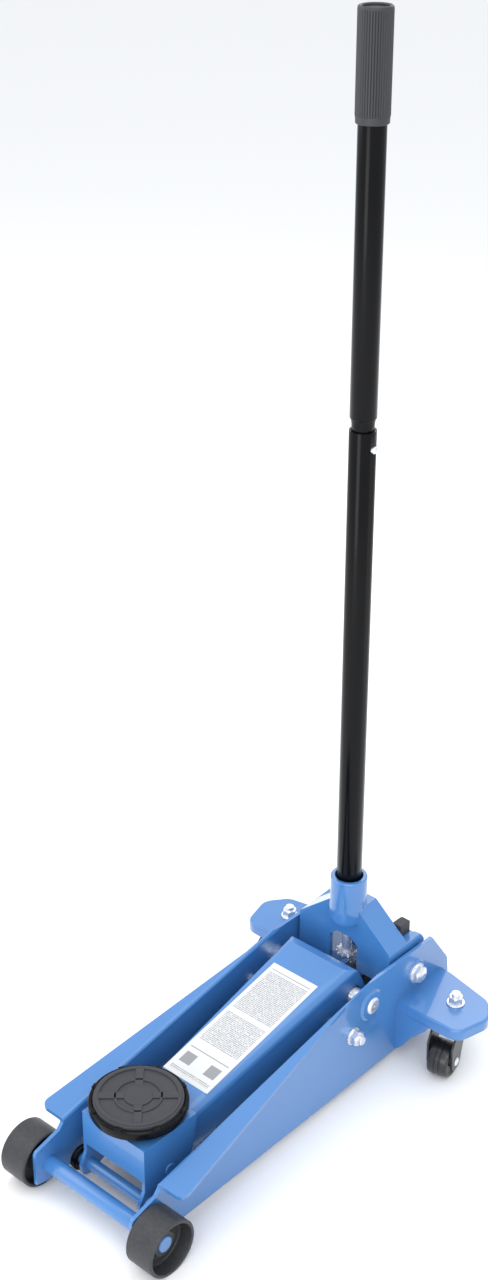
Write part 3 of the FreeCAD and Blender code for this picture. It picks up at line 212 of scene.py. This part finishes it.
class Finish:
    """A material with one surface shader and short ways to add patterns to it."""

    def __init__(self, name, colour, roughness, metallic=0.0, coat=0.0, coat_roughness=0.05):
        self.material = bpy.data.materials.new(name)
        self.material.use_nodes = True
        self.tree = self.material.node_tree
        self.tree.nodes.clear()
        self.shader = self.tree.nodes.new("ShaderNodeBsdfPrincipled")
        out = self.tree.nodes.new("ShaderNodeOutputMaterial")
        self.tree.links.new(self.shader.outputs[0], out.inputs["Surface"])
        self.shader.inputs["Base Color"].default_value = (*colour, 1)
        self.shader.inputs["Roughness"].default_value = roughness
        self.shader.inputs["Metallic"].default_value = metallic
        self.shader.inputs["Coat Weight"].default_value = coat
        self.shader.inputs["Coat Roughness"].default_value = coat_roughness

    def node(self, kind, settings=None, inputs=None, output=0):
        """Adds a node, sets it up, feeds it, and returns one of its outputs."""
        made = self.tree.nodes.new(kind)
        for key, value in (settings or {}).items():
            setattr(made, key, value)
        for key, value in (inputs or {}).items():
            if isinstance(value, Signal):
                self.tree.links.new(value.socket, made.inputs[key])
            else:
                made.inputs[key].default_value = value
        return Signal(self, made.outputs[output])

    def feed(self, name, signal):
        self.tree.links.new(signal.socket, self.shader.inputs[name])

    def place(self, scale=(1, 1, 1)):
        spot = self.node("ShaderNodeTexCoord", output="Object")
        return self.node("ShaderNodeMapping", None, {"Vector": spot, "Scale": scale})

    def along(self, axis):
        return self.node("ShaderNodeSeparateXYZ", None, {0: self.place()}, axis)

    def noise(self, scale, detail, stretch=(1, 1, 1)):
        return self.node("ShaderNodeTexNoise", None, {
            "Vector": self.place(stretch), "Scale": scale, "Detail": detail})

    def blend(self, factor, low, high):
        return self.node("ShaderNodeMix", {"data_type": "RGBA"}, {
            0: factor, 6: (*low, 1), 7: (*high, 1)}, 2)

    def bump(self, height, distance, strength):
        self.feed("Normal", self.node("ShaderNodeBump", None, {
            "Height": height, "Distance": distance, "Strength": strength}))


def mottled(finish, low, high, scale):
    """A slow drift of colour over a surface."""
    finish.feed("Base Color", finish.blend(finish.noise(scale, 3), low, high))


def enamel(colours):
    made = Finish("blue enamel", colours.enamel, 0.32, coat=0.9, coat_roughness=0.06)
    dark = [part * 0.92 for part in colours.enamel]
    mottled(made, dark, colours.enamel, 12)
    made.bump(made.noise(260, 2), 0.0002, 0.25)
    return made.material


def black_enamel(colours):
    made = Finish("black enamel", colours.tube, 0.18)
    made.shader.inputs["Specular IOR Level"].default_value = 0.16
    made.bump(made.noise(180, 2), 0.0002, 0.12)
    return made.material


def wheel_iron():
    made = Finish("wheel iron", (0.035, 0.036, 0.04), 0.42, metallic=0.25)
    grain = made.noise(900, 4)
    made.feed("Roughness", grain * 0.3 + 0.3)
    mottled(made, (0.022, 0.023, 0.026), (0.055, 0.057, 0.062), 220)
    made.bump(grain, 0.0006, 0.55)
    return made.material


def castor_black():
    made = Finish("castor black", (0.014, 0.014, 0.016), 0.34, coat=0.2)
    made.bump(made.noise(400, 3), 0.0003, 0.25)
    return made.material


def zinc():
    made = Finish("zinc plate", (0.8, 0.81, 0.83), 0.34, metallic=0.85)
    cloud = made.noise(160, 3)
    made.feed("Roughness", cloud * 0.22 + 0.18)
    mottled(made, (0.7, 0.71, 0.74), (0.9, 0.91, 0.92), 120)
    return made.material


def steel(name, colour, roughness):
    made = Finish(name, colour, roughness, metallic=1.0)
    made.feed("Roughness", made.noise(200, 3) * 0.2 + (roughness - 0.1))
    return made.material


def casting():
    made = Finish("unit casting", (0.03, 0.03, 0.034), 0.45, coat=0.2)
    made.bump(made.noise(500, 4), 0.0005, 0.5)
    return made.material


def rubber(name, colour, roughness, grain):
    made = Finish(name, colour, roughness)
    made.bump(made.noise(grain, 3), 0.0002, 0.35)
    return made.material


def band(level, low, high):
    """One where a signal lies between two levels, and nought elsewhere."""
    return (level > low) * (level < high)


def label_film():
    """White film with lines of grey print that hold no words, and a few plain panels."""
    made = Finish("label film", (0.8, 0.81, 0.82), 0.35, coat=0.3)
    across, down = made.along(0), made.along(1)
    row = band((down / PRINT_PITCH).part(), 0.25, 0.75)
    letters = made.noise(1, 1, (900, 300, 1)) > 0.42
    blocks = sum(band(down, *ends) for ends in PRINT_BLOCKS)
    panels = band(down, *PANEL_DEPTH) * sum(band(across, *ends) for ends in PANEL_WIDTHS)
    rules = sum(band(down, *ends) for ends in THIN_RULES)
    margin = band(across, -PRINT_HALF_WIDTH, PRINT_HALF_WIDTH)
    ink = (row * letters * blocks * 0.75 + (panels + rules) * 0.7) * margin
    made.feed("Base Color", made.blend(ink, (0.66, 0.67, 0.68), (0.1, 0.11, 0.12)))
    return made.material


def make_finishes(colours):
    return {
        "blue_enamel": enamel(colours),
        "black_enamel": black_enamel(colours),
        "wheel_iron": wheel_iron(),
        "castor_black": castor_black(),
        "zinc_plate": zinc(),
        "dark_steel": steel("dark steel", (0.25, 0.25, 0.26), 0.35),
        "chrome_rod": steel("chrome rod", (0.85, 0.86, 0.88), 0.16),
        "unit_casting": casting(),
        "bronze_bush": steel("bronze bush", (0.55, 0.36, 0.17), 0.35),
        "pad_rubber": rubber("pad rubber", (0.028, 0.03, 0.037), 0.55, 700),
        "grip_rubber": rubber("grip rubber", (0.032, 0.033, 0.038), 0.5, 900),
        "label_film": label_film(),
    }


FINISHES = {}


# ---------------------------------------------------------------------------------------------
# Settings
# ---------------------------------------------------------------------------------------------

class JackColours(bpy.types.PropertyGroup):
    """Colours of the painted pieces."""
    enamel: bpy.props.FloatVectorProperty(
        name="Enamel", description="Colour of the painted frame", subtype="COLOR",
        default=(0.052, 0.2, 0.5), min=0, max=1)
    tube: bpy.props.FloatVectorProperty(
        name="Tube", description="Colour of the handle tube", subtype="COLOR",
        default=(0.003, 0.003, 0.0035), min=0, max=1)


class JackSizes(bpy.types.PropertyGroup):
    """Sizes of the pieces that are shaped here."""
    edge_round: bpy.props.FloatProperty(
        name="Edge round", description="Softening of the pressed and cut edges",
        default=0.0008, min=0, unit="LENGTH")
    grip_flutes: bpy.props.IntProperty(
        name="Grip flutes", description="Grooves along the handle grip", default=40, min=8)
    flute_depth: bpy.props.FloatProperty(
        name="Flute depth", description="Depth of each groove of the grip",
        default=0.0008, min=0, unit="LENGTH")
    spring_turns: bpy.props.IntProperty(
        name="Spring turns", description="Turns of the plunger's return spring", default=8, min=2)
    spring_wire: bpy.props.FloatProperty(
        name="Spring wire", description="Thickness of the spring's wire",
        default=0.0022, min=0, unit="LENGTH")


# ---------------------------------------------------------------------------------------------
# Operators
# ---------------------------------------------------------------------------------------------

class JACK_OT_finishes(bpy.types.Operator):
    """Paint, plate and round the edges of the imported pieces"""
    bl_idname = "jack.finishes"
    bl_label = "Finishes"

    def execute(self, context):
        FINISHES.update(make_finishes(context.scene.jack_colours))
        width = context.scene.jack_sizes.edge_round
        slots = {part["node"]: part["material_slot"] for part in frame["record"]["subparts"]}
        for node, thing in frame["nodes"].items():
            thing.data.materials.clear()
            thing.data.materials.append(FINISHES[slots[node]])
            weld = thing.modifiers.new("weld", "WELD")
            weld.merge_threshold = 0.00001
            bevel = thing.modifiers.new("edges", "BEVEL")
            bevel.width = min(width, min(thing.dimensions) * 0.08)
            bevel.segments = 2
            bevel.limit_method = "ANGLE"
            bevel.angle_limit = math.radians(38)
            bevel.use_clamp_overlap = True
            bevel.harden_normals = False
        return {"FINISHED"}


class JACK_OT_front_wheels(bpy.types.Operator):
    """Turn the two deep-dished front wheels"""
    bl_idname = "jack.front_wheels"
    bl_label = "Front wheels"

    def execute(self, context):
        profile = [
            (90.5, 11.3), (90.5, 17), (91.4, 18), (103.4, 18.6), (104.6, 20), (104.8, 31.4),
            (103.6, 32.8), (92.2, 33.2), (90.9, 34), (90.5, 35), (90.5, 36.6), (91.9, 38),
            (131, 38), (132.2, 37.2), (132.5, 36.4), (132.5, 34.4), (131.8, 33.5), (130, 33),
            (114.6, 32.2), (113.2, 31.2), (112.6, 29.8), (112.4, 24.4), (112.9, 23.6),
            (114.4, 23), (114.8, 22.2), (114.8, 18.2), (115.4, 17.4), (118.4, 16.9), (119, 16.2),
            (119, 11.3),
        ]
        for side, sign in (("left", 1), ("right", -1)):
            mesh = bmesh.new()
            lathe(mesh, profile, "X", 112)
            if sign < 0:
                bmesh.ops.scale(mesh, vec=(-1, 1, 1), verts=mesh.verts)
            bmesh.ops.translate(mesh, vec=FRONT_AXLE, verts=mesh.verts)
            fit(finished(mesh, side + "_dished_wheel", 24), "front_wheel_" + side, "wheel_iron",
                side + "_front_wheel")
        return {"FINISHED"}


class JACK_OT_castor_wheels(bpy.types.Operator):
    """Turn the two ridged castor wheels"""
    bl_idname = "jack.castor_wheels"
    bl_label = "Castor wheels"

    def execute(self, context):
        half = [
            (2.2, 25), (2.9, 24), (4.1, 24), (4.8, 25), (11.4, 24.8), (13.4, 24.2), (14.6, 22.8),
            (15, 20.8), (14.2, 19.4), (12.4, 18.4), (11.8, 17.2), (11.8, 10.4), (12.4, 9.6),
            (14.8, 9), (15.4, 8.2), (15.4, 4.3),
        ]
        profile = [(-along, radius) for along, radius in reversed(half)] + half
        for side in ("left", "right"):
            joint = next(entry for entry in frame["joints"]
                         if entry["name"] == side + "_castor_roll")
            heading = Vector(joint["axis"])
            mesh = bmesh.new()
            lathe(mesh, profile, "X", 96)
            turn = Matrix.Rotation(math.atan2(heading.y, heading.x), 3, "Z")
            bmesh.ops.rotate(mesh, cent=(0, 0, 0), matrix=turn, verts=mesh.verts)
            bmesh.ops.translate(mesh, vec=joint["pos_m"], verts=mesh.verts)
            fit(finished(mesh, side + "_castor_tyre", 28), "castor_wheel_" + side, "castor_black",
                side + "_castor_wheel")
        return {"FINISHED"}


class JACK_OT_pad(bpy.types.Operator):
    """Mould the saddle pad's cross, rings and centre disc, and the cup's rim tabs"""
    bl_idname = "jack.pad"
    bl_label = "Saddle pad"

    def execute(self, context):
        low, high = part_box("saddle_pad")
        spot = centre_line(low, high)
        outer, bottom, top = (high[0] - low[0]) / 2 / MM, low[2] / MM, high[2] / MM
        field = top - 1.7
        mesh = bmesh.new()
        lathe(mesh, [(bottom, 0), (bottom, outer - 1), (bottom + 0.8, outer), (field - 1.4, outer),
                     (field - 0.3, outer - 0.5), (field, outer - 1.4), (field, 0)], "Z", 128)
        for inner, width in ((0, 18.5), (27.4, 3.4), (49.2, 4.8)):
            edge = inner + width
            rim = [(field - 0.6, edge + 0.5), (top - 0.5, edge), (top, edge - 0.6)]
            if inner:
                rim += [(top, inner + 0.6), (top - 0.5, inner), (field - 0.6, inner - 0.5)]
            else:
                rim += [(top, 0), (field - 0.6, 0)]
            lathe(mesh, rim, "Z", 128)
        for quarter in range(4):
            verts = bars(mesh, (0.017, -0.0052, (field - 0.6) * MM),
                         (0.0505, 0.0052, top * MM), 0.0005)
            turned(mesh, verts, PAD_SPOKE_ANGLE + 90 * quarter)
        bmesh.ops.translate(mesh, vec=spot, verts=mesh.verts)
        fit(finished(mesh, "relief_pad", 30), "saddle", "pad_rubber", "saddle_pad")

        low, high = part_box("saddle_cup")
        rim = (high[0] - low[0]) / 2
        mesh = bmesh.new()
        for eighth in range(8):
            verts = bars(mesh, (rim - 0.0052, -0.0045, high[2] - 0.009),
                         (rim - 0.0002, 0.0045, high[2] + 0.0012), 0.0006)
            turned(mesh, verts, CUP_TAB_ANGLE + 45 * eighth)
        bmesh.ops.translate(mesh, vec=spot, verts=mesh.verts)
        fit(finished(mesh, "cup_rim_tabs", 30), "saddle", "black_enamel")
        return {"FINISHED"}


class JACK_OT_grip(bpy.types.Operator):
    """Mould the fluted handle grip with its smooth collar and rolled top"""
    bl_idname = "jack.grip"
    bl_label = "Grip"

    def execute(self, context):
        sizes = context.scene.jack_sizes
        low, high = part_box("handle_grip")
        outer = (high[0] - low[0]) / 2
        crest = outer - 0.0002
        collar_top, flute_top = low[2] + 0.0095, high[2] - 0.004
        mesh = bmesh.new()
        around = 4 * sizes.grip_flutes
        ring = bmesh.ops.create_circle(mesh, segments=around, radius=crest)["verts"]
        ring.sort(key=lambda vert: math.atan2(vert.co.y, vert.co.x))
        groove = (crest - sizes.flute_depth) / crest
        for vert in ring[::4]:
            vert.co *= groove
        bmesh.ops.translate(mesh, vec=(0, 0, collar_top - 0.0006), verts=ring)
        wall = bmesh.ops.extrude_edge_only(mesh, edges=mesh.edges[:])
        raised = [item for item in wall["geom"] if isinstance(item, bmesh.types.BMVert)]
        bmesh.ops.translate(mesh, vec=(0, 0, flute_top - collar_top + 0.0012), verts=raised)
        bmesh.ops.holes_fill(mesh, edges=mesh.edges, sides=0)
        bore, tube = 15.5, 17.05
        width, bottom, top = outer / MM, low[2] / MM, high[2] / MM
        lathe(mesh, [
            (bottom, tube), (bottom, width - 1.8), (bottom + 0.8, width - 1),
            (bottom + 8.4, width - 0.6), (bottom + 9.2, width - 1), (bottom + 9.5, tube),
        ], "Z", 96)
        lathe(mesh, [
            (top - 4.4, bore), (top - 4.4, width - 0.4), (top - 2.4, width - 0.3),
            (top - 0.8, width - 1), (top, width - 2.4), (top - 0.5, bore + 0.6), (top - 1.4, bore),
        ], "Z", 96)
        bmesh.ops.translate(mesh, vec=centre_line(low, high), verts=mesh.verts)
        fit(finished(mesh, "fluted_grip", 30), "handle", "grip_rubber", "handle_grip")
        return {"FINISHED"}


class JACK_OT_spring(bpy.types.Operator):
    """Wind the pump plunger's return spring"""
    bl_idname = "jack.spring"
    bl_label = "Plunger spring"

    def execute(self, context):
        sizes = context.scene.jack_sizes
        low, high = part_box("plunger_spring")
        wire = sizes.spring_wire / 2
        radius = (high[0] - low[0]) / 2 - wire
        rise = high[2] - low[2] - 2 * wire
        steps = 28 * sizes.spring_turns
        mesh = bmesh.new()
        across = Matrix.Translation((radius, 0, 0)) @ Matrix.Rotation(math.pi / 2, 4, "X")
        ring = bmesh.ops.create_circle(mesh, segments=12, radius=wire, cap_ends=True, matrix=across)
        faces = list({face for vert in ring["verts"] for face in vert.link_faces})
        bmesh.ops.spin(mesh, geom=faces, cent=(0, 0, 0), axis=(0, 0, 1),
                       dvec=(0, 0, rise / steps), angle=TURN * sizes.spring_turns, steps=steps)
        centre = ((low[0] + high[0]) / 2, (low[1] + high[1]) / 2, low[2] + wire)
        bmesh.ops.translate(mesh, vec=centre, verts=mesh.verts)
        coil = finished(mesh, "plunger_coil", 60)
        coil.data.materials.append(FINISHES["dark_steel"])
        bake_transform(coil)
        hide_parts("plunger_spring")
        return {"FINISHED"}


class JACK_OT_stage(bpy.types.Operator):
    """Lay the floor and set the lights and the camera"""
    bl_idname = "jack.stage"
    bl_label = "Stage"

    def execute(self, context):
        mesh = bmesh.new()
        bmesh.ops.create_grid(mesh, x_segments=1, y_segments=1, size=FLOOR_HALF)
        floor = finished(mesh, "studio_floor")
        pale = Finish("studio floor", (0.93, 0.93, 0.93), 0.9)
        floor.data.materials.append(pale.material)
        for name, spot, size, power in LAMPS:
            data = bpy.data.lights.new(name + " softbox", "AREA")
            data.shape = "SQUARE"
            data.size = size
            data.energy = power
            lamp = bpy.data.objects.new(name + " softbox", data)
            lamp.location = spot
            aim = LAMP_TARGET - Vector(spot)
            lamp.rotation_euler = aim.to_track_quat("-Z", "Y").to_euler()
            context.scene.collection.objects.link(lamp)
        world = bpy.data.worlds.new("studio")
        world.use_nodes = True
        world.node_tree.nodes["Background"].inputs["Color"].default_value = (0.95, 0.97, 1, 1)
        world.node_tree.nodes["Background"].inputs["Strength"].default_value = 1.0
        context.scene.world = world
        context.scene.view_settings.view_transform = "Standard"
        data = bpy.data.cameras.new("camera")
        data.sensor_width = SENSOR_WIDTH
        data.lens = LENS
        data.shift_x, data.shift_y = LENS_SHIFT
        data.dof.use_dof = False
        camera = bpy.data.objects.new("camera", data)
        camera.matrix_world = (Matrix.Translation(CAMERA_PLACE)
                               @ Matrix.Rotation(CAMERA_AZIMUTH, 4, "Z")
                               @ Matrix.Rotation(math.pi / 2 - CAMERA_ELEVATION, 4, "X")
                               @ Matrix.Rotation(CAMERA_ROLL, 4, "Z"))
        context.scene.collection.objects.link(camera)
        context.scene.camera = camera
        return {"FINISHED"}


class JACK_PT_panel(bpy.types.Panel):
    """Lists the jack's pieces and settings"""
    bl_idname = "JACK_PT_panel"
    bl_label = "Trolley Jack"
    bl_space_type = "VIEW_3D"
    bl_region_type = "UI"
    bl_category = "Trolley Jack"

    def draw(self, context):
        for operator in OPERATORS:
            self.layout.operator(operator.bl_idname)
        for settings in (context.scene.jack_colours, context.scene.jack_sizes):
            for key in settings.__annotations__:
                self.layout.prop(settings, key)


OPERATORS = (JACK_OT_finishes, JACK_OT_front_wheels, JACK_OT_castor_wheels, JACK_OT_pad,
             JACK_OT_grip, JACK_OT_spring, JACK_OT_stage)
CLASSES = (JackColours, JackSizes, *OPERATORS, JACK_PT_panel)


def register():
    for item in CLASSES:
        bpy.utils.register_class(item)
    bpy.types.Scene.jack_colours = bpy.props.PointerProperty(type=JackColours)
    bpy.types.Scene.jack_sizes = bpy.props.PointerProperty(type=JackSizes)


def unregister():
    del bpy.types.Scene.jack_sizes
    del bpy.types.Scene.jack_colours
    for item in reversed(CLASSES):
        bpy.utils.unregister_class(item)


def main():
    register()
    bpy.ops.jack.finishes()
    bpy.ops.jack.front_wheels()
    bpy.ops.jack.castor_wheels()
    bpy.ops.jack.pad()
    bpy.ops.jack.grip()
    bpy.ops.jack.spring()
    bpy.ops.jack.stage()


if __name__ == "__main__":
    main()
